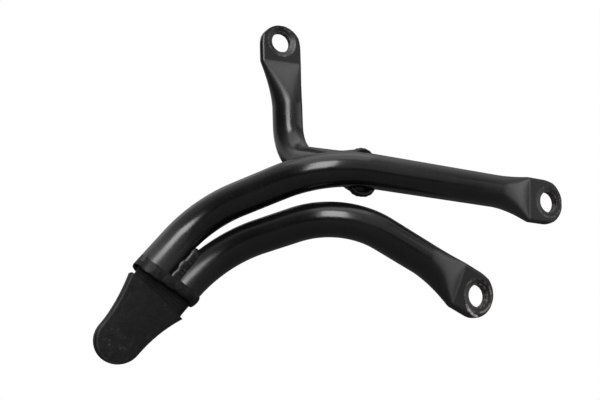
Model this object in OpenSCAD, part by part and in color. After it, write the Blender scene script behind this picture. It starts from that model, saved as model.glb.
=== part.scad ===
// Footrest bracket of bent tube: two tubes with bolt lugs run together at a footrest stub with a
// rubber pad, and a brace with a third lug stands off the back of the upper tube.
// Millimetres. X runs along the straight leg of the upper tube, Y away from the side with the
// pressed ramps, Z up. The origin is the upper lug's hole, on the lug's flat mounting face.

/* [Tube] */
// Outer diameter of all three tubes
tube_d = 20; // [18:0.5:22]
// Wall of the tubes
wall = 2.5; // [2:0.1:3]
// Slit between the two tubes where they run side by side
seam_gap = 0.2; // [0.1:0.05:0.5]

/* [Upper tube] */
// Upper lug hole to the first corner
upper_leg = 167; // [155:1:175]
// Middle leg, along X
upper_mid_x = 50; // [46:0.5:56]
// Middle leg, downwards
upper_mid_z = 26.5; // [22:0.5:30]
// Last leg, corner to tube end
upper_end_leg = 44.5; // [42:0.5:50]
// Slope of the last leg below the horizontal, in degrees
end_slope = 52; // [48:1:56]
// Bend radius at the first corner
upper_bend_r = 60; // [50:1:64]
// Bend radius at the second corner
upper_elbow_r = 50; // [44:1:52]

/* [Lower tube] */
// Lower lug hole, back from the upper one
lower_lug_x = 57; // [52:0.5:64]
// Lower lug hole, down from the upper one
lower_lug_z = 64.5; // [60:0.5:70]
// First corner, ahead of the upper tube's first corner
lower_corner_ahead = 12; // [8:0.5:16]
// First corner, down from the upper lug hole
lower_corner_z = 24; // [22:0.5:26]
// Last leg, corner to tube end
lower_end_leg = 34; // [32:0.5:36]
// Bend radius at the first corner
lower_bend_r = 50; // [40:1:52]
// Bend radius at the second corner
lower_elbow_r = 60; // [50:1:62]

/* [Brace] */
// Foot of the brace on the upper tube, past the start of that tube's first bend
brace_foot_past = 4.65; // [0:0.05:8]
// How far the brace's foot sits below the upper tube's axis
brace_foot_drop = 0.8; // [0:0.1:1.5]
// Brace lug's mounting face, past the sideways step of the two tubes
brace_past_step = 30.5; // [24:0.5:38]
// Brace corner, back from the brace's foot
brace_corner_back = 6; // [2:0.5:12]
// Brace corner, up from the upper lug hole
brace_corner_z = 22; // [14:0.5:28]
// Brace lug hole, back from the brace's foot
brace_lug_back = 13; // [8:0.5:18]
// Brace lug hole, up from the upper one
brace_lug_z = 104.5; // [98:0.5:112]
// Bend radius of the brace
brace_bend_r = 30; // [24:1:34]
// Thickness of the squashed brace end along the upper tube
foot_t = 13; // [11:0.5:15]
// Length over which the brace end is squashed
foot_len = 28; // [24:1:34]

/* [Lugs] */
// Bolt hole
hole_d = 13.5; // [10.5:0.5:14.5]
// Rim of the bolt seats
seat_d = 20.4; // [19:0.2:22]
// Depth of the dished seat on the brace's lug
dish_depth = 1.2; // [0.6:0.1:1.5]
// Depth of the pressed washer marks on the other two lugs
mark_depth = 0.3; // [0.2:0.05:0.6]
// Hole centre to the rounded end of a lug
lug_end = 11.5; // [11:0.5:13]
// Hole centre to the crease where the upper lug's flat starts
upper_flat = 16; // [15:0.5:18]
// The same on the lower lug
lower_flat = 15.5; // [15:0.5:18]
// The same on the brace's lug
brace_flat = 14.5; // [14:0.5:18]
// Length of the pressed ramp from the flat to the round tube
ramp_len = 27; // [22:1:32]
// How much wider than its share of the tube's wall a pressed section spreads
spread = 1.04; // [1:0.01:1.06]

/* [Footrest] */
// Sideways step from the lug legs to the footrest
step_y = 54; // [50:1:58]
// Slant of the cut across the two tube ends, in degrees
end_slant = 9; // [0:0.5:12]
// Length of the stub's root, from the tube ends to the pad
root_len = 9; // [7:0.5:12]
// Step from the outside of the two tubes in to the root
root_step = 1.9; // [1.4:0.1:2.4]
// How much the root's end is narrower than the pad, at each side
root_inset = 1.7; // [1:0.1:2.5]
// Thickness of the root where the pad starts
root_t = 10; // [9:0.5:12]
// Width of the steel tongue inside the pad
tongue_w = 20; // [16:1:22]
// Thickness of the steel tongue
tongue_t = 4; // [3:0.5:5]
// Length of the steel tongue from the root
tongue_len = 34; // [28:1:36]
// Clearance between the tongue and the pad's pocket
pocket_gap = 0.15; // [0.1:0.05:0.3]
// Length of the rubber pad
pad_len = 44; // [42:1:48]
// Width of the pad at its open end
pad_base_w = 38.4; // [35:0.2:41]
// Radius of the pad's round tip
pad_tip_r = 13.2; // [12.6:0.2:14]
// Thickness of the pad
pad_t = 10; // [9:0.5:12]
// Rounding of the pad's edges
pad_edge_r = 1.6; // [1:0.1:2]
// How far the stub and pad sit off the middle of the two tubes
pad_shift = 1.7; // [0:0.1:2]
// How sharply the pad's sides flare towards its open end
pad_flare = 2.1; // [1.4:0.1:2.6]

/* [Welds] */
// Height of the weld ring above the tubes at the stub
ring_weld_h = 1; // [0.8:0.1:1.6]
// Width of the weld ring along the tubes
ring_weld_w = 6; // [5:0.5:8]
// How far the weld ring reaches over the stub
ring_weld_ahead = 2.7; // [1.5:0.1:3]
// Width of the weld between the two tubes
seam_weld_w = 9; // [7:0.2:10]
// Top of that weld, below the outside of the tubes
seam_weld_sink = 1.2; // [0.8:0.1:2]
// Length of the weld between the two tubes
seam_weld_len = 22.5; // [18:0.5:25]
// Radius of the weld round the brace's foot
foot_weld_r = 2.3; // [1.8:0.1:2.6]

/* [Hidden] */

$fn = 64;
// Points round a tube, and degrees between the rings of a bend
sides = 24;
bend_step = 7.5;
// Weld against tube: kept just clear of the skin it sits on
bead_gap = 0.05;
// Overshoot of a cutting tool past the face it cuts
past = 1;

tube_r = tube_d / 2;
lug_t = 2 * wall;
// A pressed section keeps the tube's perimeter
function pressed_w(h) = PI / 2 * (tube_r - h) * spread;
lug_half_w = pressed_w(lug_t / 2) + lug_t / 2;

end_dir = [-cos(end_slope), 0, -sin(end_slope)];
end_across = [sin(end_slope), 0, -cos(end_slope)];
pitch = tube_d + seam_gap;

upper_hole = [0, -tube_r, 0];
upper_corner = upper_hole - [upper_leg, 0, 0];
upper_elbow = upper_corner + [-upper_mid_x, step_y, -upper_mid_z];
upper_end = upper_elbow + upper_end_leg * end_dir;
upper_path = [upper_hole, upper_corner, upper_elbow, upper_end];
upper_radii = [upper_bend_r, upper_elbow_r];

lower_hole = [-lower_lug_x, -tube_r, -lower_lug_z];
lower_corner = upper_corner + [lower_corner_ahead, 0, -lower_corner_z];
lower_end = upper_end + pitch * end_across;
lower_elbow = lower_end - lower_end_leg * end_dir;
lower_path = [lower_hole, lower_corner, lower_elbow, lower_end];
lower_radii = [lower_bend_r, lower_elbow_r];

upper_bend_reach = bend_reach(upper_hole, upper_corner, upper_elbow, upper_bend_r);
brace_foot = upper_corner + [upper_bend_reach - brace_foot_past, 0, -brace_foot_drop];
brace_rise_y = step_y + brace_past_step;
brace_corner = brace_foot + [-brace_corner_back, brace_rise_y, brace_foot_drop + brace_corner_z];
brace_hole = brace_foot + [-brace_lug_back, brace_rise_y, brace_foot_drop + brace_lug_z];
brace_path = [brace_hole, brace_corner, brace_foot];
brace_radii = [brace_bend_r];
// The squashed foot stops this far behind the upper tube's axis
foot_back = 1;

stub_at = (upper_end + lower_end) / 2;

// Vectors
function unit(v) = v / norm(v);
function square_to(v, along) = unit(v - (v * along) * along);

// A station is [place, direction, half thickness, straight half width, straight half height, shift].
// The shift moves the section towards the mounting side.
function round_at(place, dir) = [place, dir, tube_r, 0, 0, 0];

// Angle of a bend, and how far before its corner it starts
function bend_angle(before, corner, after) = acos(unit(corner - before) * unit(after - corner));
function bend_reach(before, corner, after, r) = r * tan(bend_angle(before, corner, after) / 2);

// Stations round one bend
function bend(before, corner, after, r) =
    let (d0 = unit(corner - before), d1 = unit(after - corner), inward = square_to(d1, d0))
    let (start = corner - bend_reach(before, corner, after, r) * d0)
    let (angle = bend_angle(before, corner, after), steps = ceil(angle / bend_step))
    [for (i = [0:steps])
        let (a = angle * i / steps)
        round_at(start + r * sin(a) * d0 + r * (1 - cos(a)) * inward, cos(a) * d0 + sin(a) * inward)];

function bends(path, radii) =
    [for (i = [1:len(radii)]) each bend(path[i - 1], path[i], path[i + 1], radii[i - 1])];

// Stations of a pressed lug: the rounded end, the crease and the ramp out to the round tube
tip_angles = [10, 22, 36, 52, 70, 90];
ramp_steps = [0, 0.12, 0.3, 0.5, 0.72, 1];
ramp_curve = 1.25;
// Where the bore's ramp begins, just past the crease, because the walls meet there
bore_start = 0.07;
// Least straight part of a section
least_w = 0.01;
function pressed_at(hole, dir, s, h, half_w) =
    [hole + s * dir, dir, h, half_w - h, 0, tube_r - h];
function ramp_h(t) = tube_r - (tube_r - lug_t / 2) * pow(1 - t, ramp_curve);
function ramp_at(hole, dir, flat, t) =
    pressed_at(hole, dir, flat + t * ramp_len, ramp_h(t), pressed_w(ramp_h(t)) + ramp_h(t));
function lug_tip(hole, dir) =
    [for (a = tip_angles)
        pressed_at(hole, dir, lug_half_w * (1 - cos(a)) - lug_end, lug_t / 2,
                   max(lug_t / 2 + least_w, lug_half_w * sin(a)))];
function lug(hole, dir, flat) =
    concat(lug_tip(hole, dir), [for (t = ramp_steps) ramp_at(hole, dir, flat, t)]);
function lug_bore(hole, dir, flat) =
    [for (t = ramp_steps) ramp_at(hole, dir, flat, max(t, bore_start))];

// Stations of the squashed brace end
foot_steps = [0, 0.35, 0.65, 1];
function foot(end, dir, len) =
    [for (t = foot_steps)
        let (h = tube_r + (foot_t / 2 - tube_r) * (1 - cos(180 * t)) / 2)
        [end - (1 - t) * len * dir, dir, h, 0, pressed_w(h), 0]];

// Section of a station drawn out by some amount, or in where it is less than nothing
function grown(s, by) = [s[0], s[1], s[2] + by, s[3], s[4], s[5]];
function moved(s, by) = [s[0] + by * s[1], s[1], s[2], s[3], s[4], s[5]];

// Ring of points of a station, with flats that touch its true outline; ref is the way that the
// width of the lug runs
function ring(s, ref) =
    let (across = square_to(ref, s[1]), away = cross(s[1], across), r = s[2] / cos(180 / sides))
    [for (i = [0:sides - 1])
        let (a = 360 * (i + 0.5) / sides)
        s[0] + (sign(cos(a)) * s[3] + r * cos(a)) * across
             + (sign(sin(a)) * s[4] + r * sin(a) + s[5]) * away];

// Closed skin through a list of rings with the same number of points
module skin(rings) {
    n = len(rings[0]);
    last = len(rings) - 1;
    polyhedron(
        points = [for (r = rings) each r],
        faces = concat(
            [[for (i = [0:n - 1]) i]],
            [for (k = [0:last - 1], i = [0:n - 1])
                let (j = (i + 1) % n)
                each [[k * n + i, (k + 1) * n + i, k * n + j],
                      [k * n + j, (k + 1) * n + i, (k + 1) * n + j]]],
            [[for (i = [n - 1:-1:0]) last * n + i]]));
}

function back_to_front(list) = [for (i = [len(list) - 1:-1:0]) list[i]];

// Rings of a tube's outside and, from its end back to the crease, of its bore
function shell_rings(outer, bore, ref) =
    concat([for (s = outer) ring(s, ref)], [for (s = back_to_front(bore)) ring(grown(s, -wall), ref)]);

// Ring at the last end of one of the two long tubes, carried along to the slanted cut
up = [0, 0, 1];
cut_normal = end_dir + tan(end_slant) * end_across;
function cut_ring(end, by, ahead) =
    [for (p = ring(grown(round_at(end, end_dir), by), up))
        p + ((stub_at - p) * cut_normal + ahead) * end_dir];

module long_tube(path, radii, flat) {
    d = unit(path[1] - path[0]);
    end = path[len(path) - 1];
    outside = concat(lug(path[0], d, flat), bends(path, radii));
    bore = concat(lug_bore(path[0], d, flat), bends(path, radii));
    skin(concat([for (s = outside) ring(s, up)], [cut_ring(end, 0, 0), cut_ring(end, -wall, 0)],
                [for (s = back_to_front(bore)) ring(grown(s, -wall), up)]));
}

// Bolt hole and seat of a lug whose tube axis passes through the point
module bolt_hole(axis_point, seat_depth) {
    near_y = axis_point[1] + tube_r - lug_t;
    translate([axis_point[0], near_y, axis_point[2]]) rotate([-90, 0, 0]) {
        translate([0, 0, -past]) cylinder(d = hole_d, h = lug_t + 2 * past);
        cylinder(d1 = seat_d, d2 = hole_d, h = seat_depth);
        translate([0, 0, -past]) cylinder(d = seat_d, h = past);
    }
}

module upper_tube() {
    color([0.05, 0.05, 0.05])
    difference() {
        long_tube(upper_path, upper_radii, upper_flat);
        bolt_hole(upper_hole, mark_depth);
    }
}

module lower_tube() {
    color([0.06, 0.06, 0.06])
    difference() {
        long_tube(lower_path, lower_radii, lower_flat);
        bolt_hole(lower_hole, mark_depth);
    }
}

foot_dir = unit(brace_foot - brace_corner);
foot_end = brace_foot + (foot_back / foot_dir[1]) * foot_dir;
brace_foot_stations = foot(foot_end, foot_dir, foot_len);
brace_dir = unit(brace_corner - brace_hole);
brace_run = concat(bends(brace_path, brace_radii), brace_foot_stations);
brace_outer = concat(lug(brace_hole, brace_dir, brace_flat), brace_run);
brace_bore = concat(lug_bore(brace_hole, brace_dir, brace_flat), brace_run);
// The brace's lug is wide along X
brace_ref = [-1, 0, 0];

// The upper tube from its ramp round its first corner, as a cutting tool
module upper_leg_skin(gap) {
    leg_start = round_at(upper_hole - [upper_flat + ramp_len, 0, 0], [-1, 0, 0]);
    skin([for (s = concat([leg_start], bend(upper_hole, upper_corner, upper_elbow, upper_bend_r)))
        ring(grown(s, gap), up)]);
}

module brace_tube() {
    color([0.05, 0.05, 0.05])
    difference() {
        skin(shell_rings(brace_outer, brace_bore, brace_ref));
        upper_leg_skin(bead_gap);
        bolt_hole(brace_hole, dish_depth);
    }
}

// Frame of the footrest: local X along the pad, local Y across it, local Z the way of -Y
module at_stub() {
    multmatrix([[end_dir[0], end_across[0], 0, stub_at[0]],
                [end_dir[1], end_across[1], -1, stub_at[1]],
                [end_dir[2], end_across[2], 0, stub_at[2]],
                [0, 0, 0, 1]])
        children();
}

// Carries a form along to the slanted cut across the tube ends
module slanted() {
    multmatrix([[1, -tan(end_slant), 0, 0], [0, 1, 0, 0], [0, 0, 1, 0], [0, 0, 0, 1]]) children();
}

// Thin plate with round ends, square to the pad
module oval(d, span) {
    rotate([0, 90, 0]) linear_extrude(slice) hull() for (side = [-1, 1])
        translate([0, side * span / 2]) circle(d = d, $fn = 40);
}

slice = 0.5;
root_end_w = pad_base_w - 2 * root_inset;
module root() {
    hull() {
        slanted() translate([0, pad_shift / 2, 0]) oval(tube_d - 2 * root_step, pitch);
        translate([root_len - slice, pad_shift, 0]) oval(root_t, root_end_w - root_t);
    }
}

// Rounding of the tongue's corners
round_r = 4;
module tongue(gap) {
    straight = tongue_len - round_r;
    translate([root_len - past, pad_shift - tongue_w / 2 - gap, -tongue_t / 2 - gap])
        cube([straight + past, tongue_w + 2 * gap, tongue_t + 2 * gap]);
    translate([root_len + straight - past, pad_shift - tongue_w / 2 + round_r, -tongue_t / 2 - gap])
        cube([round_r + past + gap, tongue_w - 2 * round_r, tongue_t + 2 * gap]);
    for (side = [-1, 1])
        translate([root_len + straight, pad_shift + side * (tongue_w / 2 - round_r), -tongue_t / 2 - gap])
            cylinder(r = round_r + gap, h = tongue_t + 2 * gap);
}

module footrest_stub() {
    color([0.04, 0.04, 0.045]) at_stub() {
        root();
        tongue(0);
    }
}

// Plan of the pad, drawn in from its edge by inset
function pad_half_w(x) =
    pad_tip_r + (pad_base_w / 2 - pad_tip_r) * pow(1 - x / (pad_len - pad_tip_r), pad_flare);
side_steps = [0, 0.08, 0.2, 0.35, 0.5, 0.7, 0.9];
function pad_plan(inset) =
    let (straight = pad_len - pad_tip_r)
    let (right = [for (t = side_steps) [t * straight, inset - pad_half_w(t * straight)]])
    let (tip_r = pad_tip_r - inset)
    let (tip = [for (a = [-90:15:90]) [straight + tip_r * cos(a), tip_r * sin(a)]])
    concat(right, tip, [for (i = [len(right) - 1:-1:0]) [right[i][0], -right[i][1]]]);

function pad_ring(z, inset) = [for (p = pad_plan(inset)) [root_len + p[0], pad_shift + p[1], z]];

module rubber_pad() {
    half = pad_t / 2;
    color([0.12, 0.12, 0.12]) at_stub() difference() {
        skin([for (side = [-1, 1], a = [90, 60, 30, 0])
            let (turn = side < 0 ? a : 90 - a)
            pad_ring(side * (half - pad_edge_r * (1 - sin(turn))), pad_edge_r * (1 - cos(turn)))]);
        tongue(pocket_gap);
    }
}

// The outside of a tube's last part, from its second corner to its end, as a cutting tool
module tube_end_skin(path, radii, gap) {
    turn = bend(path[1], path[2], path[3], radii[1]);
    skin(concat([for (s = turn) ring(grown(s, gap), up)], [cut_ring(path[3], gap, past)]));
}

module stub_weld() {
    half_w = ring_weld_w / 2;
    bead = [[0, -half_w], [tube_r, -half_w], [tube_r + ring_weld_h, 0], [tube_r, half_w], [0, half_w]];
    color([0.07, 0.07, 0.07]) difference() {
        at_stub() slanted() hull() for (side = [-1, 1])
            translate([ring_weld_ahead - half_w, side * pitch / 2, 0]) rotate([0, 90, 0])
                rotate_extrude($fn = 40) polygon(bead);
        tube_end_skin(upper_path, upper_radii, bead_gap);
        tube_end_skin(lower_path, lower_radii, bead_gap);
        at_stub() root();
    }
}

// Two beads that fill the grooves between the tubes, one on each side, with blunt round ends. Each
// starts behind the weld ring and stops short of the slit in the depth of its groove.
seam_r = seam_weld_w / 2;
seam_floor = 3;
module seam_bead() {
    run = seam_weld_len - seam_r;
    intersection() {
        translate([0, 0, tube_r - seam_weld_sink - seam_r]) {
            rotate([0, -90, 0]) cylinder(r = seam_r, h = run, $fn = 32);
            translate([-run, 0, 0]) sphere(r = seam_r, $fn = 32);
        }
        translate([-seam_weld_len, -seam_r, seam_floor]) cube([seam_weld_len, seam_weld_w, tube_r]);
    }
}

module seam_weld() {
    color([0.06, 0.06, 0.06]) difference() {
        at_stub() slanted() translate([ring_weld_ahead - ring_weld_w - bead_gap, 0, 0]) {
            seam_bead();
            mirror([0, 0, 1]) seam_bead();
        }
        tube_end_skin(upper_path, upper_radii, bead_gap);
        tube_end_skin(lower_path, lower_radii, bead_gap);
    }
}

// Middle line of the bead round the brace's foot, on the back of the upper tube
foot_half_t = foot_t / 2;
foot_straight = pressed_w(foot_half_t);
weld_points = 32;
// How far the bead's middle stands off the two surfaces that it joins
weld_off = 0.3 * foot_weld_r;
// Where along the foot's flat side a point of the bead is, from -1 at its lower end to 1
function along_side(a) = max(-1, min(1, 3 * sin(a)));
// The bead follows the upper tube's axis, which leaves its straight line where the first bend starts
bend_side = square_to(upper_elbow - upper_corner, [1, 0, 0]);
function axis_shift(x) =
    let (into_bend = max(0, brace_foot_past - x))
    (upper_bend_r - sqrt(pow(upper_bend_r, 2) - pow(into_bend, 2))) * bend_side;
// Drift of the brace's foot for each millimetre that it goes back from the upper tube's axis
foot_lean = foot_dir / foot_dir[1];
// How far back a line with that drift leaves the upper tube, from its height at the axis
function leaves_tube(z) =
    let (lean = foot_lean[2], stretch = 1 + lean * lean)
    (sqrt(max(0, stretch * tube_r * tube_r - z * z)) - lean * z) / stretch;
function weld_at(i) =
    let (a = 360 * i / weld_points, grow = foot_half_t + weld_off)
    let (x = grow * cos(a), z = along_side(a) * foot_straight + grow * sin(a))
    let (y = max(foot_back, leaves_tube(z - brace_foot_drop)) + weld_off)
    let (place = [x, 0, z] + y * foot_lean)
    brace_foot + place + axis_shift(place[0]);

// Closed loop of round sections through a ring of places
module closed_bead(places, r, around) {
    n = len(places);
    rings = [for (k = [0:n - 1])
        let (dir = unit(places[(k + 1) % n] - places[(k + n - 1) % n]))
        let (out = square_to([0, 1, 0], dir), side = cross(dir, out))
        [for (i = [0:around - 1])
            let (a = 360 * i / around)
            places[k] + r * cos(a) * out + r * sin(a) * side]];
    polyhedron(
        points = [for (q = rings) each q],
        faces = [for (k = [0:n - 1], i = [0:around - 1])
            let (k2 = (k + 1) % n, j = (i + 1) % around)
            each [[k * around + i, k2 * around + i, k * around + j],
                  [k * around + j, k2 * around + i, k2 * around + j]]]);
}

// The brace's foot drawn out past its end, as a cutting tool
foot_last = brace_foot_stations[len(foot_steps) - 1];
foot_cutter = concat(brace_foot_stations, [moved(foot_last, 2 * past)]);
module brace_weld() {
    color([0.06, 0.06, 0.06]) difference() {
        closed_bead([for (i = [0:weld_points - 1]) weld_at(i)], foot_weld_r, 10);
        upper_leg_skin(bead_gap);
        skin([for (s = foot_cutter) ring(grown(s, bead_gap), brace_ref)]);
    }
}

upper_tube();
lower_tube();
brace_tube();
footrest_stub();
rubber_pad();
stub_weld();
seam_weld();
brace_weld();
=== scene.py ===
"""Looks of the footrest bracket: black enamel tubes with pressed lugs, welds and a rubber pad."""
import math

import bmesh
import bpy
import numpy as np
from mathutils import Matrix, Vector


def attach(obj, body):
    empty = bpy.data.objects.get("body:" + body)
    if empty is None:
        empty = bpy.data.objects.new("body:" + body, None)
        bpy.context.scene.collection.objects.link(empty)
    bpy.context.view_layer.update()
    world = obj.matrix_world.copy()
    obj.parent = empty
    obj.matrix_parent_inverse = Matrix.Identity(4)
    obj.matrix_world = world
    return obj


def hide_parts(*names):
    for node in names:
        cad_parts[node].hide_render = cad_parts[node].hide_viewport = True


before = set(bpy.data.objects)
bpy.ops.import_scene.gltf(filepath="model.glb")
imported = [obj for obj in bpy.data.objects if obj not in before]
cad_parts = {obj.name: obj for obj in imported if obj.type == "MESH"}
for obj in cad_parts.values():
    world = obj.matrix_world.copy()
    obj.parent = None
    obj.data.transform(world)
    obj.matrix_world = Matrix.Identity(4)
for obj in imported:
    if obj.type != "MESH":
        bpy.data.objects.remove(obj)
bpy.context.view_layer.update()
MM = 0.001

# Tubes, in millimetres. The lugs' and corners' places are measured from the upper lug's hole, to the
# left and up or down, and UPPER_MID from the upper tube's corner to its elbow. BEND_STEP is in degrees.
TUBE_R = 10.0
WALL = 2.5
SEAM_GAP = 0.2
STEP_Y = 54.0
UPPER_LEG = 167.0
UPPER_MID = (50.0, 26.5)
UPPER_END_LEG = 44.5
UPPER_RADII = (60.0, 50.0)
LOWER_LUG = (57.0, 64.5)
LOWER_CORNER = (155.0, 24.0)
LOWER_END_LEG = 34.0
LOWER_RADII = (50.0, 60.0)
BRACE_FACE_Y = 84.5
BRACE_CORNER = (149.5, 22.0)
BRACE_LUG = (156.5, 104.5)
BRACE_RADIUS = 30.0
END_SLOPE = math.radians(52.0)
END_SLANT = math.tan(math.radians(9.0))
BEND_STEP = 2.5
AROUND = 112

# Brace's squashed foot: its distance from the upper lug's hole, how far into the upper tube's bend its
# weld is laid, its drop below that tube's axis, its size and its lean
BRACE_FOOT_X = 142.3
BRACE_FOOT_PAST = 4.65
BRACE_FOOT_DROP = 0.8
FOOT_T = 13.0
FOOT_LEN = 28.0
FOOT_BACK = 1.0
FOOT_TILT = 0.09

# Pressed lugs: bolt hole and seat, the length of each flat, and the ramp behind its crease
HOLE_R = 6.75
HOLE_RIM = 0.4
BACK_RIM = 0.3
SEAT_R = 10.2
SEAT_RIM = 0.45
DISH_DEPTH = 1.2
MARK_DEPTH = 0.3
LUG_END = 11.25
UPPER_FLAT = 16.0
LOWER_FLAT = 15.5
BRACE_FLAT = 14.5
RAMP_LEN = 33.0
RAMP_CURVE = 1.5
RAMP_ROUND = 0.8
CREASE_EASE = 0.9
CUT_BEVEL = 0.5
SPREAD = 1.04
BRACE_LUG_LONGER = 0.17
BRACE_LUG_WIDER = 0.3

# Footrest: steel root and rubber pad
ROOT_LEN = 9.0
ROOT_T = 10.0
ROOT_STEP = 1.9
ROOT_INSET = 1.7
ROOT_INSIDE = 4.0
ROOT_WAIST = 1.4
ROOT_TAPER = 1.3
PAD_LEN = 43.88
PAD_BASE_W = 38.4
PAD_SIDES = ((20.0, 1.7), (18.9, 2.1))
PAD_TIP_R = 13.08
PAD_T = 10.0
PAD_EDGE_R = 1.6
PAD_SHIFT = 1.7
RIDGE = 0.2
RIDGE_HALF = 0.3
RIDGE_FOOT = 0.45

# Welds: sways, swells and lumps are lists of waves, each with its amount, rate and phase
CUT_BACK = 2.2
RING_W = 6.0
RING_HALF = RING_W / 2 + 0.2
RING_H = 0.65
RING_RISE = 0.65
RING_SINK = 1.5
RING_AHEAD = 2.7
RING_PLACES = 240
RING_SWAY = ((0.25, 0.31, 0), (0.06, 0.83, 1))
RING_SWELL = ((0.08, 0.47, 0),)
RING_LUMPS = ((0.1, 0.37, 0),)
RING_RIPPLE = 0.025
RING_PITCH = 2.5
SEAM_LEN = 22.5
SEAM_START = 0.8
SEAM_SINK = 1.2
SEAM_DEPTH = 3.5
SEAM_RIPPLE = 0.04
SEAM_PITCH = 2.6
SEAM_PLACES = 76
SEAM_EDGE = 0.3
FOOT_WELD_HALF = 2.6
FOOT_WELD_H = 1.61
FOOT_WELD_SINK = 1.8
FOOT_WELD_RIPPLE = 0.1
FOOT_WELD_PITCH = 2.4
FOOT_WELD_OUT = 0.3
FOOT_WELD_BELOW = 0.8
FOOT_WELD_SHIFT = (0.4, -0.65)
FOOT_WELD_PLACES = 150

LUG_T = 2 * WALL
LUG_HALF_W = math.pi / 2 * (TUBE_R - LUG_T / 2) * SPREAD + LUG_T / 2
PITCH = 2 * TUBE_R + SEAM_GAP
PAIR_HALF_W = PITCH / 2 + TUBE_R


def vec(*c):
    return np.array(c, float)


def unit(v):
    return v / np.linalg.norm(v)


# Corner points of the three tubes
END_DIR = vec(-math.cos(END_SLOPE), 0, -math.sin(END_SLOPE))
END_ACROSS = vec(math.sin(END_SLOPE), 0, -math.cos(END_SLOPE))
UPPER_HOLE = vec(0, -TUBE_R, 0)
UPPER_CORNER = UPPER_HOLE - vec(UPPER_LEG, 0, 0)
UPPER_ELBOW = UPPER_CORNER + vec(-UPPER_MID[0], STEP_Y, -UPPER_MID[1])
UPPER_END = UPPER_ELBOW + UPPER_END_LEG * END_DIR
LOWER_HOLE = vec(-LOWER_LUG[0], -TUBE_R, -LOWER_LUG[1])
LOWER_TURN = vec(-LOWER_CORNER[0], -TUBE_R, -LOWER_CORNER[1])
LOWER_END = UPPER_END + PITCH * END_ACROSS
LOWER_ELBOW = LOWER_END - LOWER_END_LEG * END_DIR
BRACE_FOOT = vec(-BRACE_FOOT_X, -TUBE_R, -BRACE_FOOT_DROP)
BRACE_TURN = vec(-BRACE_CORNER[0], BRACE_FACE_Y - TUBE_R, BRACE_CORNER[1])
BRACE_HOLE = vec(-BRACE_LUG[0], BRACE_FACE_Y - TUBE_R, BRACE_LUG[1])
FOOT_DIR = unit(BRACE_FOOT - BRACE_TURN)
STUB_AT = (UPPER_END + LOWER_END) / 2
UP = vec(0, 0, 1)
LEFT = vec(-1, 0, 0)


def at_stub(x, y, z):
    """Point of the footrest's own frame: along the pad, across it, and towards the ramped side."""
    return STUB_AT + x * END_DIR + y * END_ACROSS + vec(0, -z, 0)


def from_stub(x, y, z):
    """Direction of the footrest's own frame."""
    return at_stub(x, y, z) - STUB_AT


def cut_back(y):
    """How far the tube ends and their weld draw back at the far left of the footrest."""
    return CUT_BACK * min(1.0, max(0.0, (-y - TUBE_R) / TUBE_R)) ** 2


def waver(at, waves):
    """Sum of a few sine waves, for the unevenness of a hand-laid bead."""
    return sum(amount * math.sin(rate * at + phase) for amount, rate, phase in waves)


# Mesh helpers
def mesh_object(name, points, faces):
    """Object from points in millimetres, with its normals turned outwards."""
    data = bpy.data.meshes.new(name)
    data.from_pydata([tuple(float(c) * MM for c in p) for p in points], [], faces)
    bm = bmesh.new()
    bm.from_mesh(data)
    bmesh.ops.recalc_face_normals(bm, faces=bm.faces)
    bm.to_mesh(data)
    bm.free()
    obj = bpy.data.objects.new(name, data)
    bpy.context.scene.collection.objects.link(obj)
    return obj


def skin(name, rings, closed=False):
    """Object through a list of rings, capped at its ends unless it closes on itself."""
    n = len(rings[0])
    count = len(rings)
    points = [p for r in rings for p in r]
    faces = []
    for k in range(count if closed else count - 1):
        a, b = k * n, (k + 1) % count * n
        for i in range(n):
            j = (i + 1) % n
            faces.append((a + i, a + j, b + j, b + i))
    if not closed:
        faces.append(tuple(range(n)))
        faces.append(tuple(range((count - 1) * n, count * n)))
    return mesh_object(name, points, faces)


def smooth(obj, angle=32.0):
    """Smooth shading that stays crisp where faces meet at more than the angle."""
    for p in obj.data.polygons:
        p.use_smooth = True
    obj.data.set_sharp_from_angle(angle=math.radians(angle))


def cut(obj, tool):
    """Takes the tool's volume out of the object."""
    mod = obj.modifiers.new("cut", "BOOLEAN")
    mod.object = tool
    mod.operation = "DIFFERENCE"
    mod.solver = "EXACT"
    with bpy.context.temp_override(object=obj, active_object=obj):
        bpy.ops.object.modifier_apply(modifier=mod.name)
    bpy.data.objects.remove(tool)


def turned(name, profile, point, steps=128):
    """Solid turned about the line through the point along +Y; the profile holds radius and y."""
    turn = np.linspace(0, 2 * math.pi, steps, endpoint=False)
    return skin(name, [[vec(point[0] + r * math.cos(t), y, point[2] + r * math.sin(t)) for t in turn]
                       for r, y in profile])


# Sections and paths of the tubes
class Station:
    """Place along a tube, and its section: corner radius, straight halves, shift, and how far
    its flats are softened towards an oval."""

    def __init__(self, place, direction, h=TUBE_R, wide=0.0, tall=0.0, shift=0.0, soft=0.0, ref=None):
        self.place, self.direction, self.ref = place, direction, ref
        self.h, self.wide, self.tall, self.shift, self.soft = h, wide, tall, shift, soft


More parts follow.
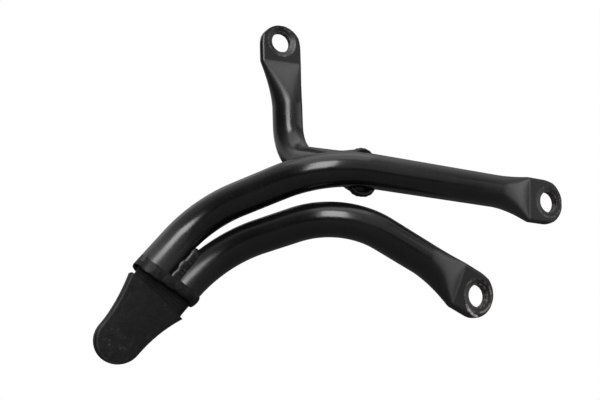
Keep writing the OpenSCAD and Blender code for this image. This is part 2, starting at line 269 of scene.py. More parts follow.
def section(s, ref, around=AROUND):
    """Points spread evenly round the section, so that pressed metal keeps its spacing."""
    ref = ref if s.ref is None else s.ref
    across = unit(ref - ref @ s.direction * s.direction)
    away = np.cross(s.direction, across)
    w, t, h = s.wide, s.tall, s.h
    quarter = math.pi / 2 * h
    lines = {0: ((w + h, 0), (0, 1)), 2: ((w, t + h), (-1, 0)), 4: ((-w - h, t), (0, -1)),
             6: ((-w, -t - h), (1, 0)), 8: ((w + h, -t), (0, 1))}
    arcs = {1: (w, t), 3: (-w, t), 5: (-w, -t), 7: (w, -t)}
    ends = np.cumsum([t, quarter, 2 * w, quarter, 2 * t, quarter, 2 * w, quarter, t])
    ring = []
    for i in range(around):
        p = ends[-1] * i / around
        leg = min(int(np.searchsorted(ends, p, side="right")), 8)
        p -= ends[leg - 1] if leg else 0
        if leg in arcs:
            a = p / h + (leg - 1) / 2 * math.pi / 2
            x, y = arcs[leg][0] + h * math.cos(a), arcs[leg][1] + h * math.sin(a)
        else:
            (x0, y0), (dx, dy) = lines[leg]
            x, y = x0 + p * dx, y0 + p * dy
        turn = 2 * math.pi * i / around
        x += s.soft * ((w + h) * math.cos(turn) - x)
        y += s.soft * ((t + h) * math.sin(turn) - y)
        ring.append(s.place + x * across + (y + s.shift) * away)
    return ring


def bend(before, corner, after, r):
    """Stations round a corner of a tube's path."""
    d0, d1 = unit(corner - before), unit(after - corner)
    angle = math.acos(d0 @ d1)
    inward = unit(d1 - d1 @ d0 * d0)
    start = corner - r * math.tan(angle / 2) * d0
    steps = math.ceil(math.degrees(angle) / BEND_STEP)
    found = []
    for i in range(steps + 1):
        a = angle * i / steps
        found.append(Station(start + r * math.sin(a) * d0 + r * (1 - math.cos(a)) * inward,
                             math.cos(a) * d0 + math.sin(a) * inward))
    return found


def pressed_w(h):
    """Straight half width of a tube pressed to a half thickness, as its metal spreads."""
    return math.pi / 2 * (TUBE_R - h) * SPREAD


def half_thickness(s, flat):
    """Half thickness of a pressed end at a distance from its hole, before easing."""
    t = (s - flat) / RAMP_LEN
    if t <= 0:
        return LUG_T / 2
    return TUBE_R - (TUBE_R - LUG_T / 2) * max(0.0, 1 - t) ** RAMP_CURVE


# Angles round a lug's tip, in degrees, and steps between the stations behind it, to just past the ramp
TIP_ANGLES = [3, 5, 7, 9.5, 12, 15] + list(range(18, 91, 3))
FLAT_STEP = 1.5
CREASE_STEP = 0.35
RAMP_STEP = 1.2
PAST_RAMP = 2.0


def lug(hole, d, flat, end=LUG_END, widen=0.0, aside=vec(0, 0, 0)):
    """Stations of a pressed end: sheared round tip, flat, eased crease and ramp."""
    found = []
    full_w = LUG_HALF_W + widen
    for a in np.radians(TIP_ANGLES):
        s = full_w * (1 - math.cos(a)) - end
        half_w = full_w * math.sin(a)
        inset = max(0.0, CUT_BEVEL - (s + end))
        half_t = LUG_T / 2 - CUT_BEVEL + math.sqrt(CUT_BEVEL ** 2 - inset ** 2)
        corner = min(half_t, half_w, max(CUT_BEVEL, LUG_T / 2 - (full_w - half_w)))
        found.append(Station(hole + aside + s * d, d, corner, half_w - corner, half_t - corner,
                             TUBE_R - LUG_T / 2))
    crease = (flat - 2 * CREASE_EASE, flat + 2 * CREASE_EASE)
    places = list(np.arange(full_w - end + FLAT_STEP, crease[0], FLAT_STEP))
    places += list(np.arange(*crease, CREASE_STEP))
    places += list(np.arange(crease[1], flat + RAMP_LEN + PAST_RAMP, RAMP_STEP))
    for s in places:
        h = np.mean([half_thickness(s + e, flat) for e in np.linspace(-CREASE_EASE, CREASE_EASE, 9)])
        on = min(1.0, max(0.0, (s - flat) / RAMP_LEN))
        found.append(Station(hole + (1 - on) * aside + s * d, d, h, pressed_w(h) + widen * (1 - on), 0,
                             TUBE_R - h, min(1.0, on / RAMP_ROUND)))
    return found


def tube(name, path, radii, ref, flat, foot=None, **lug_shape):
    """Bent tube with a pressed lug at its start, and the brace's foot or a slanted cut at its end."""
    stations = lug(path[0], unit(path[1] - path[0]), flat, **lug_shape)
    for i in range(1, len(path) - 1):
        stations += bend(path[i - 1], path[i], path[i + 1], radii[i - 1])
    rings = [section(s, ref) for s in stations + (foot or [])]
    if not foot:
        normal = END_DIR + END_SLANT * END_ACROSS
        rings.append([p + ((STUB_AT - p) @ normal - cut_back((p - STUB_AT) @ END_ACROSS)) * END_DIR
                      for p in section(Station(path[-1], END_DIR), ref)])
    return skin(name, rings)


def bolt_hole(obj, hole, depth):
    """Bolt hole and its seat, with slightly rounded rims; the first and last points clear the lug."""
    face = hole[1] + TUBE_R
    near = face - LUG_T
    bottom = near + depth
    rim = min(SEAT_RIM, depth)
    profile = [(SEAT_R + rim, near - 1), (SEAT_R + rim, near), (SEAT_R + rim / 3, near + 0.15 * rim),
               (SEAT_R - rim / 3, near + 0.5 * rim), (SEAT_R - rim, near + 0.9 * rim),
               (HOLE_R + HOLE_RIM, bottom - 0.05), (HOLE_R + 0.3 * HOLE_RIM, bottom + 0.1),
               (HOLE_R, bottom + 0.35), (HOLE_R, face - 0.35), (HOLE_R + BACK_RIM, face),
               (HOLE_R + BACK_RIM, face + 1)]
    cut(obj, turned("hole_cutter", profile, hole))


def make_upper_tube():
    path = [UPPER_HOLE, UPPER_CORNER, UPPER_ELBOW, UPPER_END]
    obj = tube("upper_tube_skin", path, UPPER_RADII, UP, UPPER_FLAT)
    bolt_hole(obj, UPPER_HOLE, MARK_DEPTH)
    smooth(obj)
    return obj


def make_lower_tube():
    path = [LOWER_HOLE, LOWER_TURN, LOWER_ELBOW, LOWER_END]
    obj = tube("lower_tube_skin", path, LOWER_RADII, UP, LOWER_FLAT)
    bolt_hole(obj, LOWER_HOLE, MARK_DEPTH)
    smooth(obj)
    return obj


def make_brace_tube():
    """Brace with its pressed lug, and its other end squashed to an upright oval."""
    end = BRACE_FOOT + FOOT_BACK / FOOT_DIR[1] * FOOT_DIR
    foot = []
    for t in np.linspace(0, 1, 15):
        h = TUBE_R + (FOOT_T / 2 - TUBE_R) * (1 - math.cos(math.pi * t)) / 2
        foot.append(Station(end - (1 - t) * FOOT_LEN * FOOT_DIR, FOOT_DIR, h, 0, pressed_w(h),
                            ref=LEFT - FOOT_TILT * t * UP))
    path = [BRACE_HOLE, BRACE_TURN, BRACE_FOOT]
    obj = tube("brace_tube_skin", path, [BRACE_RADIUS], LEFT, BRACE_FLAT, foot,
               end=LUG_END + BRACE_LUG_LONGER, widen=BRACE_LUG_WIDER, aside=BRACE_LUG_WIDER * LEFT)
    bolt_hole(obj, BRACE_HOLE, DISH_DEPTH)
    smooth(obj)
    return obj


def make_root():
    """Waisted block from the slanted tube ends to the flat mouth of the pad."""
    start_w, end_w = PAIR_HALF_W - ROOT_STEP, PAD_BASE_W / 2 - ROOT_INSET
    rings = []
    for t in np.linspace(0, 1, 21):
        half_w = end_w + (start_w - end_w) * (1 - t) ** ROOT_WAIST
        half_t = ROOT_T / 2 + (TUBE_R - ROOT_STEP - ROOT_T / 2) * (1 - t) ** ROOT_TAPER
        flat_ring = section(Station(vec(0, 0, 0), vec(1, 0, 0), half_t, half_w - half_t), vec(0, 1, 0), 96)
        rings.append([at_stub(t * ROOT_LEN - (1 - t) * END_SLANT * p[1], PAD_SHIFT * (1 + t) / 2 + p[1], p[2])
                      for p in flat_ring])
    rings.insert(0, [p - ROOT_INSIDE * END_DIR for p in rings[0]])
    obj = skin("footrest_root", rings)
    smooth(obj, 50)
    return obj


def pad_outline(inset):
    """Plan of the pad from its left corner round the tip; each side has its half width and flare."""
    straight = PAD_LEN - PAD_TIP_R
    left, right = ([(t * straight, PAD_TIP_R + (base - PAD_TIP_R) * (1 - t) ** flare - inset)
                    for t in np.linspace(0, 1, 26)[:-1]] for base, flare in PAD_SIDES)
    tip = [(straight + (PAD_TIP_R - inset) * math.cos(a), (PAD_TIP_R - inset) * math.sin(a))
           for a in np.linspace(-math.pi / 2, math.pi / 2, 41)]
    return [(x, -y) for x, y in left] + tip + [(x, y) for x, y in reversed(right)]


def make_pad():
    """Rubber pad: flat sides, rounded edges and the fine ridge of its parting line."""
    edge_z = PAD_T / 2 - PAD_EDGE_R
    edge = [(-edge_z - PAD_EDGE_R * math.sin(a), RIDGE + PAD_EDGE_R * (1 - math.cos(a)))
            for a in np.radians([90, 70, 50, 30, 15, 0])]
    ridge = [(-RIDGE_FOOT, RIDGE), (-RIDGE_HALF, 0.0), (RIDGE_HALF, 0.0), (RIDGE_FOOT, RIDGE)]
    layers = edge + ridge + [(-z, inset) for z, inset in reversed(edge)]
    obj = skin("footrest_pad", [[at_stub(ROOT_LEN + x, PAD_SHIFT + y, z) for x, y in pad_outline(inset)]
                                for z, inset in layers])
    smooth(obj, 35)
    return obj


# Weld beads with ripples
def bead(name, places, outs, half_w, height, sink, ripple, pitch, closed=False, around=18):
    """Rippled bead through places on a surface; outs point out of that surface."""
    n = len(places)
    length = np.zeros(n)
    for k in range(1, n):
        length[k] = length[k - 1] + np.linalg.norm(places[k] - places[k - 1])
    rings = []
    for k in range(n):
        ahead = (k + 1) % n if closed else min(k + 1, n - 1)
        behind = k - 1 if closed else max(k - 1, 0)
        d = unit(places[ahead] - places[behind])
        out = unit(outs[k] - outs[k] @ d * d)
        side = np.cross(d, out)
        w, h = half_w[k], height[k]
        ring = []
        for i in range(around):
            a = 2 * math.pi * i / around
            lag = 0.35 * w * (1 - abs(math.cos(a)))
            wave = ripple * math.sin(2 * math.pi * (length[k] + lag) / pitch)
            y = math.sin(a)
            lift = (h + wave) * y if y > 0 else sink * y
            ring.append(places[k] + w * math.cos(a) * side + lift * out)
        rings.append(ring)
    obj = skin(name, rings, closed)
    smooth(obj, 70)
    return obj


def ring_line(n):
    """Places and outward directions round the outside of the two tube ends, side by side."""
    total = 2 * PITCH + 2 * math.pi * TUBE_R
    found = []
    for k in range(n):
        p = total * k / n
        if p < PITCH:
            y, z, ny, nz = -PITCH / 2 + p, TUBE_R, 0, 1
        elif p < PITCH + math.pi * TUBE_R:
            a = (p - PITCH) / TUBE_R
            ny, nz = math.sin(a), math.cos(a)
            y, z = PITCH / 2 + TUBE_R * ny, TUBE_R * nz
        elif p < 2 * PITCH + math.pi * TUBE_R:
            y, z, ny, nz = PITCH / 2 - (p - PITCH - math.pi * TUBE_R), -TUBE_R, 0, -1
        else:
            a = (p - 2 * PITCH - math.pi * TUBE_R) / TUBE_R
            ny, nz = -math.sin(a), -math.cos(a)
            y, z = -PITCH / 2 + TUBE_R * ny, TUBE_R * nz
        found.append((y, z, ny, nz))
    return found


def make_ring_weld():
    """Bead round the slanted ends of both tubes, higher towards the lower tube."""
    places, outs, widths, heights = [], [], [], []
    for k, (y, z, ny, nz) in enumerate(ring_line(RING_PLACES)):
        x = RING_AHEAD - RING_W / 2 - END_SLANT * y - cut_back(y) + waver(k, RING_SWAY)
        places.append(at_stub(x, y, z))
        outs.append(from_stub(0, ny, nz))
        widths.append(RING_HALF + waver(k, RING_SWELL))
        heights.append(RING_H + RING_RISE * y / PAIR_HALF_W + waver(k, RING_LUMPS))
    return bead("stub_weld_bead", places, outs, widths, heights, RING_SINK, RING_RIPPLE, RING_PITCH,
                closed=True)


def make_seam_weld(name, side, off, low, lean, half):
    """Bead in the groove between the two tubes, on one side, with a rounded far end."""
    places, outs, widths, heights = [], [], [], []
    for x in np.linspace(0, SEAM_LEN, SEAM_PLACES):
        to_end = min(1.0, (SEAM_LEN - x) / half)
        taper = math.sqrt(max(0.0, 1 - (1 - to_end) ** 2))
        sway = waver(x, ((0.3, 0.5, 0), (0.15, 1.1, side)))
        places.append(at_stub(RING_AHEAD - RING_W + SEAM_START - x, off + sway, side * (TUBE_R - low)))
        outs.append(from_stub(0, -lean, side))
        widths.append(SEAM_EDGE + (half + waver(x, ((0.2, 0.8, 0),)) - SEAM_EDGE) * taper)
        heights.append(0.1 + (low - SEAM_SINK) * taper)
    return bead(name, places, outs, widths, heights, SEAM_DEPTH, SEAM_RIPPLE, SEAM_PITCH)


def make_brace_weld():
    """Bead round the brace's foot, which follows the foot's lean and the upper tube's first bend."""
    foot_straight = pressed_w(FOOT_T / 2)
    foot_lean = FOOT_DIR / FOOT_DIR[1]
    stretch = 1 + foot_lean[2] ** 2
    bend_side = unit((UPPER_ELBOW - UPPER_CORNER) * vec(0, 1, 1))
    bend_r = UPPER_RADII[0]
    places, outs = [], []
    for k in range(FOOT_WELD_PLACES):
        a = 2 * math.pi * k / FOOT_WELD_PLACES
        grow = FOOT_T / 2 + FOOT_WELD_OUT + FOOT_WELD_BELOW * abs(math.cos(a)) * max(0, -math.sin(a))
        x = grow * math.cos(a)
        z = foot_straight * max(-1, min(1, 3 * math.sin(a))) + grow * math.sin(a)
        low = z - BRACE_FOOT_DROP
        y = (math.sqrt(max(0, stretch * TUBE_R ** 2 - low ** 2)) - foot_lean[2] * low) / stretch
        place = vec(x, 0, z) + (max(FOOT_BACK, y) + 0.2) * foot_lean
        into_bend = max(0, BRACE_FOOT_PAST - place[0])
        shift = (bend_r - math.sqrt(bend_r ** 2 - into_bend ** 2)) * bend_side
        aside, drop = FOOT_WELD_SHIFT
        places.append(BRACE_FOOT + place + shift + vec(aside - FOOT_TILT * place[2], 0, drop))
        outs.append(unit(unit(vec(0, place[1], place[2])) + unit(vec(math.cos(a), 0, math.sin(a)))))
    return bead("brace_weld_bead", places, outs, [FOOT_WELD_HALF] * FOOT_WELD_PLACES,
                [FOOT_WELD_H] * FOOT_WELD_PLACES, FOOT_WELD_SINK, FOOT_WELD_RIPPLE, FOOT_WELD_PITCH,
                closed=True)


upper = make_upper_tube()
lower = make_lower_tube()
brace = make_brace_tube()
stub = make_root()
pad = make_pad()
stub_weld = make_ring_weld()
rear_seam = make_seam_weld("seam_weld_bead_0", side=-1, off=0.0, low=3.0, lean=0.0, half=4.5)
near_seam = make_seam_weld("seam_weld_bead_2", side=1, off=1.4, low=2.9, lean=-0.3, half=3.7)
brace_weld = make_brace_weld()


# Material helpers
class Shader:
    """Node tree of one material, with short calls to add nodes and join them."""

    def __init__(self, name, **settings):
        self.mat = bpy.data.materials.new(name)
        self.mat.use_nodes = True
        self.tree = self.mat.node_tree
        self.bsdf = self.tree.nodes["Principled BSDF"]
        for key, value in settings.items():
            self.bsdf.inputs[key.replace("_", " ")].default_value = value
        self.place = self.add("ShaderNodeTexCoord").outputs["Object"]

    def add(self, kind, links=None, **settings):
        node = self.tree.nodes.new(kind)
        for key, value in settings.items():
            setattr(node, key, value)
        for key, value in (links or {}).items():
            if isinstance(value, bpy.types.NodeSocket):
                self.tree.links.new(value, node.inputs[key])
            else:
                node.inputs[key].default_value = value
        return node

    def stretched(self, scale):
        return self.add("ShaderNodeMapping", {"Vector": self.place, "Scale": scale}).outputs[0]

    def noise(self, scale, detail=2.0, roughness=0.5, where=None):
        return self.add("ShaderNodeTexNoise", {"Vector": where or self.place, "Scale": scale,
                                               "Detail": detail, "Roughness": roughness}).outputs["Fac"]

    def range(self, value, low, high, to_low=0.0, to_high=1.0):
        node = self.add("ShaderNodeMapRange", {"Value": value, "From Min": low, "From Max": high,
                                               "To Min": to_low, "To Max": to_high})
        return node.outputs[0]

    def math(self, operation, a, b=0.0):
        return self.add("ShaderNodeMath", {0: a, 1: b}, operation=operation).outputs[0]

    def mix(self, factor, a, b):
        node = self.add("ShaderNodeMix", data_type="RGBA")
        for key, value in ((0, factor), (6, a), (7, b)):
            if isinstance(value, bpy.types.NodeSocket):
                self.tree.links.new(value, node.inputs[key])
            else:
                node.inputs[key].default_value = value
        return node.outputs[2]

    def bump(self, height, strength, distance, after=None):
        links = {"Height": height, "Strength": strength, "Distance": distance}
        if after is not None:
            links["Normal"] = after
        return self.add("ShaderNodeBump", links).outputs[0]

    def near(self, point, inner, outer):
        """1 within the inner distance in millimetres from the point, 0 past the outer one."""
        node = self.add("ShaderNodeVectorMath", {0: self.place, 1: tuple(float(c) * MM for c in point)},
                        operation="DISTANCE")
        return self.range(node.outputs["Value"], inner * MM, outer * MM, 1.0, 0.0)

    def near_axis(self, point, inner, outer):
        """The same, measured square to a bolt hole's axis, which runs along Y."""
        flat = self.add("ShaderNodeVectorMath", {0: self.place, 1: (1, 0, 1)}, operation="MULTIPLY")
        centre = (point[0] * MM, 0, point[2] * MM)
        node = self.add("ShaderNodeVectorMath", {0: flat.outputs[0], 1: centre}, operation="DISTANCE")
        return self.range(node.outputs["Value"], inner * MM, outer * MM, 1.0, 0.0)

    def all_of(self, *masks):
        found = masks[0]
        for mask in masks[1:]:
            found = self.math("MULTIPLY", found, mask)
        return found

    def any_of(self, *masks):
        found = masks[0]
        for mask in masks[1:]:
            found = self.math("MAXIMUM", found, mask)
        return found

    def out(self, **sockets):
        for key, value in sockets.items():
            self.tree.links.new(value, self.bsdf.inputs[key.replace("_", " ")])
        return self.mat


# Marks on the paint: radii round a bolt hole and distances from a lug or a tube's end, in millimetres
WASHER_R = 10.4
LUG_DULL = (36, 62)
END_DULL = (11, 34)

# Colours of those marks, of the rust on the welds and of the root's paint
SCUFFED = (0.165, 0.155, 0.14, 1)
BARE_METAL = (0.34, 0.33, 0.315, 1)
RUST = (0.045, 0.030, 0.019, 1)
GREEN_BLACK = (0.0052, 0.0056, 0.0042, 1)
GREEN_LINE = (0.0085, 0.0092, 0.0078, 1)
BROWN_SPECK = (0.060, 0.052, 0.030, 1)


def grey(v, warm=0.0):
    return (v * (1 + warm), v, v * (1 - warm), 1.0)


def enamel(name, hole, wear, bare=(), dents=(), haze=None, dulling=0.7):
    """Gloss black stove enamel: orange peel, dust and hairlines, worn where a bolt's washer sat.

    Bare points show metal, dents are shallow dips in the skin, and haze dulls it round a point."""
    s = Shader(name, Specular_IOR_Level=0.5)
    cloud = s.noise(38, 3, 0.55)
    specks = s.range(s.noise(2300, 2, 0.6), 0.70, 0.76)
    hair = s.range(s.noise(210, 4, 0.7, s.stretched((1, 5, 9))), 0.66, 0.72)
    colour = s.mix(s.range(cloud, 0.3, 0.75), grey(0.003), grey(0.006, 0.03))
    colour = s.mix(s.math("MULTIPLY", specks, 0.5), colour, grey(0.14, 0.04))
    colour = s.mix(s.math("MULTIPLY", hair, 0.10), colour, grey(0.09))
    rough = s.math("ADD", s.range(cloud, 0.42, 0.68, 0.19, 0.27), s.math("MULTIPLY", specks, 0.3))

    # Washer mark: a scuffed disc, its broken outer line, and the chipped wall of the hole
    disc = s.near_axis(hole, WASHER_R - 0.6, WASHER_R)
    inside = s.near_axis(hole, WASHER_R - 1.3, WASHER_R - 0.5)
    line = s.all_of(s.near_axis(hole, WASHER_R - 0.2, WASHER_R + 0.5), s.math("SUBTRACT", 1.0, inside))
    wall = s.near_axis(hole, HOLE_R + 0.35, HOLE_R + 1.15)
    chips = s.any_of(s.all_of(line, s.range(s.noise(330, 3, 0.65), 0.46, 0.60)),
                     s.all_of(wall, s.range(s.noise(620, 4, 0.7), 0.47, 0.60)),
                     s.all_of(disc, s.range(s.noise(800, 4, 0.75), 0.65, 0.73)))
    worn = s.math("MULTIPLY", chips, wear)
    colour = s.mix(worn, colour, SCUFFED)
    rubbed = s.math("MULTIPLY", disc, s.range(s.noise(260, 3, 0.6), 0.4, 0.6, 0.0, 0.08))
    rough = s.math("ADD", rough, rubbed)
    rough = s.math("ADD", rough, s.math("MULTIPLY", worn, 0.2))
    rough = s.math("ADD", rough, s.math("MULTIPLY", s.near(hole, *LUG_DULL), 0.13))
    if bare:
        strip = s.any_of(*(s.near(q, 0.5, 1.1) for q in bare))
        metal = s.all_of(strip, s.range(s.noise(500, 4, 0.7), 0.36, 0.52))
        colour = s.mix(metal, colour, BARE_METAL)
        rough = s.math("ADD", rough, s.math("MULTIPLY", metal, 0.15))
    if haze is not None:
        dulled = s.near(haze, *END_DULL)
        colour = s.mix(s.math("MULTIPLY", dulled, dulling), colour, grey(0.028))
        rough = s.math("ADD", rough, s.math("MULTIPLY", dulled, 0.08))

    normal = s.bump(s.noise(520, 2, 0.5), 0.22, 0.00012)
    normal = s.bump(s.noise(1900, 2, 0.6), 0.15, 0.00006, normal)
    normal = s.bump(chips, -0.6 * wear, 0.0002, normal)
    for q, size in dents:
        dip = s.math("POWER", s.near(q, 0, size), 2.0)
        normal = s.bump(dip, -0.8, 0.0006, normal)
    return s.out(Base_Color=colour, Roughness=rough, Normal=normal)


def weld_paint(name, dull, lumps):
    """The same paint over a lumpy bead, duller, with brown specks of rust."""
    s = Shader(name, Specular_IOR_Level=0.5 - 0.3 * dull)
    rust = s.range(s.noise(620, 4, 0.7), 0.60, 0.70)
    colour = s.mix(s.range(s.noise(150, 3, 0.6), 0.35, 0.7), grey(0.003), grey(0.007, 0.04))
    colour = s.mix(s.math("MULTIPLY", rust, 0.35), colour, RUST)
    rough = s.range(s.noise(300, 3, 0.6), 0.3, 0.7, 0.2 + 0.2 * dull, 0.3 + 0.25 * dull)
    lump = s.bump(s.noise(260, 3, 0.55), lumps, 0.0004)
    grain = s.bump(s.noise(1500, 3, 0.6), 0.12, 0.0001, lump)
    return s.out(Base_Color=colour, Roughness=rough, Normal=grain)


def dull_paint(name):
    """Matt, dusty paint of the footrest's root, dragged in lines along the weld, with brown specks."""
    s = Shader(name, Specular_IOR_Level=0.18)
    along = s.add("ShaderNodeVectorMath", {0: s.place, 1: END_DIR.tolist()}, operation="DOT_PRODUCT")
    drift = s.math("MULTIPLY", s.noise(160, 3, 0.6), 9.0)
    lines = s.math("SINE", s.math("ADD", s.math("MULTIPLY", along.outputs["Value"], 3300.0), drift))
    colour = s.mix(s.noise(420, 4, 0.65), grey(0.002), GREEN_BLACK)
    colour = s.mix(s.math("MULTIPLY", s.range(lines, 0.2, 1.0), 0.5), colour, GREEN_LINE)
    specks = s.range(s.noise(1500, 2, 0.6), 0.67, 0.74)
    colour = s.mix(s.math("MULTIPLY", specks, 0.5), colour, BROWN_SPECK)
    rough = s.range(s.noise(700, 3, 0.6), 0.3, 0.7, 0.5, 0.8)
    drag = s.bump(lines, 0.18, 0.0003)
    rag = s.bump(s.noise(520, 4, 0.7), 0.6, 0.0005, drag)
    return s.out(Base_Color=colour, Roughness=rough, Normal=rag)


def rubber(name, face_y, tip, scratches):
    """Matt moulded rubber with a fine grain, scuffs, dust, a few short scratches, and a painted highlight
    along the rim of its face and along its parting line.
    """
    s = Shader(name, Specular_IOR_Level=0.2)
    colour = s.mix(s.range(s.noise(90, 4, 0.6), 0.3, 0.7), grey(0.0028), grey(0.0062, 0.02))
    dust = s.range(s.noise(1500, 3, 0.7), 0.60, 0.72)
    colour = s.mix(s.math("MULTIPLY", dust, 0.3), colour, grey(0.055))
    scuff = s.range(s.noise(170, 5, 0.75, s.stretched((1, 3, 0.6))), 0.58, 0.68)
    colour = s.mix(s.math("MULTIPLY", scuff, 0.4), colour, grey(0.04))
    marks = s.all_of(s.any_of(*(s.near(q, 0.3, 1.1) for q in scratches)),
                     s.range(s.noise(900, 4, 0.8), 0.45, 0.6))
    colour = s.mix(s.math("MULTIPLY", marks, 0.7), colour, grey(0.075))

    # Painted highlight: lighter lines along the rim of the face and along the ridge of the parting line,
    # where those edges catch light
    depth = s.add("ShaderNodeSeparateXYZ", {0: s.place}).outputs[1]
    front = face_y * MM
    middle = front + PAD_T / 2 * MM
    rim = s.all_of(s.range(depth, front + 0.1 * MM, front + 0.4 * MM),
                   s.range(depth, front + 1.2 * MM, front + 1.0 * MM),
                   s.range(s.noise(240, 3, 0.6), 0.35, 0.6, 0.5, 1.0))
    ridge = s.all_of(s.range(depth, middle - 0.5 * MM, middle - 0.3 * MM),
                     s.range(depth, middle + 0.5 * MM, middle + 0.3 * MM))
    # Both lines are painted highlight, mixed in as a lighter grey
    colour = s.mix(s.math("MULTIPLY", s.any_of(rim, ridge), 0.7), colour, grey(0.075))
    worn_tip = s.all_of(s.near(tip, 5, 17), s.range(s.noise(330, 4, 0.75), 0.5, 0.66))
    colour = s.mix(s.math("MULTIPLY", worn_tip, 0.5), colour, grey(0.028))
    rough = s.range(s.noise(260, 3, 0.6), 0.3, 0.7, 0.58, 0.78)
    grain = s.bump(s.noise(1700, 3, 0.7), 0.5, 0.00014)
    soft = s.bump(s.noise(140, 2, 0.5), 0.3, 0.0007, grain)
    return s.out(Base_Color=colour, Roughness=rough, Normal=soft)


# Dent in the upper tube's first bend, and chipped edge of the lower lug below its washer mark
DENT = (vec(-163.2, -16.1, -1.4), 4.0)
chip_line = []
for t in np.linspace(0, 1, 16):
    a = math.radians(215 + 50 * t)
    r = WASHER_R + 0.3 + 1.7 * t
    chip_line.append(LOWER_HOLE + vec(r * math.cos(a), TUBE_R - LUG_T, r * math.sin(a)))

# Worn tip of the pad, and its two scratches: the first upright, the second across
PAD_FACE_Y = LOWER_END[1] - PAD_T / 2
WORN_TIP = vec(-264, PAD_FACE_Y, -103)
SCRATCHES = ((-265.7, -100.8), (-265.3, -101.9), (-265.6, -103.0),
             (-259.4, -104.8), (-258.2, -104.6), (-257.1, -104.9))

upper_paint = enamel("upper_enamel", UPPER_HOLE, 0.5, dents=(DENT,), haze=UPPER_END)
lower_paint = enamel("lower_enamel", LOWER_HOLE, 0.8, bare=chip_line, haze=LOWER_END, dulling=0.2)
brace_paint = enamel("brace_enamel", BRACE_HOLE, 0.6)
ring_paint = weld_paint("ring_enamel", dull=1.0, lumps=0.15)
seam_paint = weld_paint("seam_enamel", dull=0.2, lumps=0.04)
foot_paint = weld_paint("foot_enamel", dull=0.5, lumps=0.3)
root_paint = dull_paint("root_enamel")
pad_rubber = rubber("pad_rubber", PAD_FACE_Y, WORN_TIP, [vec(x, PAD_FACE_Y, z) for x, z in SCRATCHES])

# Each piece with the nodes that it stands for, its slot and its material
PIECES = [
    (upper, ["upper_tube"], "tube_paint", upper_paint),
    (lower, ["lower_tube"], "tube_paint", lower_paint),
    (brace, ["brace_tube"], "tube_paint", brace_paint),
    (stub, ["footrest_stub"], "stub_paint", root_paint),
    (pad, ["rubber_pad"], "pad_rubber", pad_rubber),
    (stub_weld, ["stub_weld"], "weld_paint", ring_paint),
    (rear_seam, ["seam_weld"], "weld_paint", seam_paint),
    (near_seam, ["seam_weld"], "weld_paint", seam_paint),
    (brace_weld, ["brace_weld"], "weld_paint", foot_paint),
]
for obj, nodes, slot, mat in PIECES:
    obj.data.materials.append(mat)
    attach(obj, "root")
    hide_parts(*nodes)


# Floor: pale, below the bracket, fading into the white surroundings at its edge
FLOOR_Z = -300
FLOOR_CORNERS = ((-1700, -1700), (1500, -1700), (1500, 1700), (-1700, 1700))
FLOOR_GREY = 0.15
FLOOR_GLOW = 0.82
FLOOR_FADE = (900, 1500)


def floor_pale():
    """Pale floor that keeps shadows; its glow is for the camera only, and lights nothing."""
    s = Shader("floor_pale", Roughness=0.9, Specular_IOR_Level=0.1, Base_Color=grey(FLOOR_GREY))
    seen = s.add("ShaderNodeLightPath").outputs["Is Camera Ray"]
    strength = s.math("MULTIPLY", seen, FLOOR_GLOW)
    glow = s.add("ShaderNodeEmission", {"Color": (1, 1, 1, 1), "Strength": strength})
    lit = s.add("ShaderNodeAddShader", {0: s.bsdf.outputs[0], 1: glow.outputs[0]})
    clear = s.add("ShaderNodeBsdfTransparent")
    whole = s.near((-120, 0, FLOOR_Z), *FLOOR_FADE)
    faded = s.add("ShaderNodeMixShader", {0: whole, 1: clear.outputs[0], 2: lit.outputs[0]})
    s.tree.links.new(faded.outputs[0], s.tree.nodes["Material Output"].inputs["Surface"])
    return s.mat


floor = mesh_object("floor", [vec(x, y, FLOOR_Z) for x, y in FLOOR_CORNERS], [(0, 1, 2, 3)])
floor.data.materials.append(floor_pale())


# World: white to the camera; for everything else dark below and brighter above. Each level has its
# height, from 0 straight down to 1 straight up, and its radiance
WORLD_LEVELS = [(0.0, 0.04), (0.42, 0.04), (0.56, 0.06), (0.75, 0.12), (0.86, 0.5), (1.0, 0.7)]


def make_world():
    world = bpy.data.worlds.new("studio")
    world.use_nodes = True
    tree = world.node_tree
    tree.nodes.clear()
    coord = tree.nodes.new("ShaderNodeTexCoord")
    split = tree.nodes.new("ShaderNodeSeparateXYZ")
    tree.links.new(coord.outputs["Generated"], split.inputs[0])
    height = tree.nodes.new("ShaderNodeMapRange")
    height.inputs["From Min"].default_value = -1
    tree.links.new(split.outputs["Z"], height.inputs["Value"])
    ramp = tree.nodes.new("ShaderNodeValToRGB")
    while len(ramp.color_ramp.elements) < len(WORLD_LEVELS):
        ramp.color_ramp.elements.new(0.5)
    for element, (at, level) in zip(ramp.color_ramp.elements, WORLD_LEVELS):
        element.position = at
        element.color = (level, level, level * 1.02, 1)
    tree.links.new(height.outputs[0], ramp.inputs[0])
    light = tree.nodes.new("ShaderNodeBackground")
    tree.links.new(ramp.outputs[0], light.inputs["Color"])
    white = tree.nodes.new("ShaderNodeBackground")
    white.inputs["Color"].default_value = (1, 1, 1, 1)
    seen = tree.nodes.new("ShaderNodeLightPath")
    either = tree.nodes.new("ShaderNodeMath")
    either.operation = "MAXIMUM"
    tree.links.new(seen.outputs["Is Camera Ray"], either.inputs[0])
    tree.links.new(seen.outputs["Is Transmission Ray"], either.inputs[1])
    pick = tree.nodes.new("ShaderNodeMixShader")
    tree.links.new(either.outputs[0], pick.inputs[0])
    tree.links.new(light.outputs[0], pick.inputs[1])
    tree.links.new(white.outputs[0], pick.inputs[2])
    out = tree.nodes.new("ShaderNodeOutputWorld")
    tree.links.new(pick.outputs[0], out.inputs["Surface"])
    return world


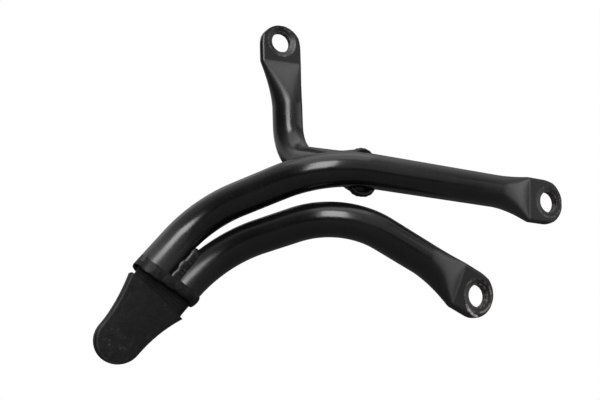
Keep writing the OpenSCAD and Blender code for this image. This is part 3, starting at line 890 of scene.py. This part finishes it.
bpy.context.scene.world = make_world()


# Lights: soft boxes around the bracket, the brightest of them above the camera. Each has its azimuth
# and elevation in degrees, its distance, width and height in metres, and its radiance
TARGET = vec(-130, 20, 0)
LIGHTS = {
    "key": (-115, 27, 1.5, 0.66, 1.0, 9.3),
    "front": (-75, 20, 1.7, 1.5, 1.5, 0.4),
    "top": (-100, 80, 1.5, 1.7, 1.5, 1.0),
    "right": (-16, 3, 1.7, 2.0, 1.75, 0.78),
    "back": (118, 28, 1.8, 1.8, 1.4, 0.55),
}


def soft_box(name, azimuth, elevation, distance, size_x, size_y, radiance):
    """Area light seen from the target in the given direction, of the given radiance."""
    az, el = math.radians(azimuth), math.radians(elevation)
    d = vec(math.cos(el) * math.cos(az), math.cos(el) * math.sin(az), math.sin(el))
    data = bpy.data.lights.new(name, "AREA")
    data.shape = "RECTANGLE"
    data.size, data.size_y = size_x, size_y
    data.energy = radiance * math.pi * size_x * size_y
    obj = bpy.data.objects.new(name, data)
    obj.location = Vector((TARGET * MM + d * distance).tolist())
    obj.rotation_euler = Vector(d.tolist()).to_track_quat("Z", "Y").to_euler()
    bpy.context.scene.collection.objects.link(obj)


for name, values in LIGHTS.items():
    soft_box(name, *values)


# Camera of the photograph: its place in metres, and its right, up and backward directions
CAMERA_AT = (-0.36633, -0.38998, -0.1037)
CAMERA_RIGHT = (0.89448876, -0.44497853, 0.04340474)
CAMERA_UP = (-0.12260442, -0.15077359, 0.98093602)
CAMERA_BACK = (-0.42995118, -0.88275786, -0.18942161)
cam_data = bpy.data.cameras.new("camera")
cam_data.sensor_width = 36
cam_data.lens = 48
cam_data.clip_start = 0.01
cam = bpy.data.objects.new("camera", cam_data)
turn = Matrix((CAMERA_RIGHT, CAMERA_UP, CAMERA_BACK)).transposed().to_4x4()
cam.matrix_world = Matrix.Translation(CAMERA_AT) @ turn
bpy.context.scene.collection.objects.link(cam)
bpy.context.scene.camera = cam
bpy.context.scene.view_settings.view_transform = "Standard"

bpy.context.view_layer.update()
